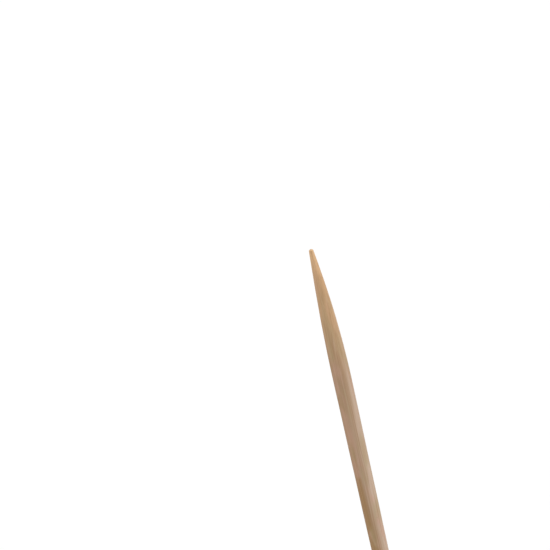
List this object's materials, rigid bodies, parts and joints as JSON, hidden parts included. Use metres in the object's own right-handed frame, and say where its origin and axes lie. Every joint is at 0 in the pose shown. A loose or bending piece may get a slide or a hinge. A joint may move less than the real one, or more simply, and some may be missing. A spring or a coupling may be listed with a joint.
{
  "type": "bamboo skewer",
  "caption": "Round bamboo skewer with a straight shank, a butt sawn square and a long, slightly swelling ground point that ends blunt, for threading and holding food.",
  "frame": {"origin": "centre of the square-sawn butt face", "axes": "+Z along the shank from the butt to the point; -X is the side that the end of the point leans to, by 0.4 mm"},
  "size_m": [0.003, 0.003, 0.2],
  "materials": {
    "bamboo": "bare, dry and matt, with fine lengthwise fibres"
  },
  "bodies": {
    "root": {"skewer": "bamboo"}
  },
  "joints": []
}
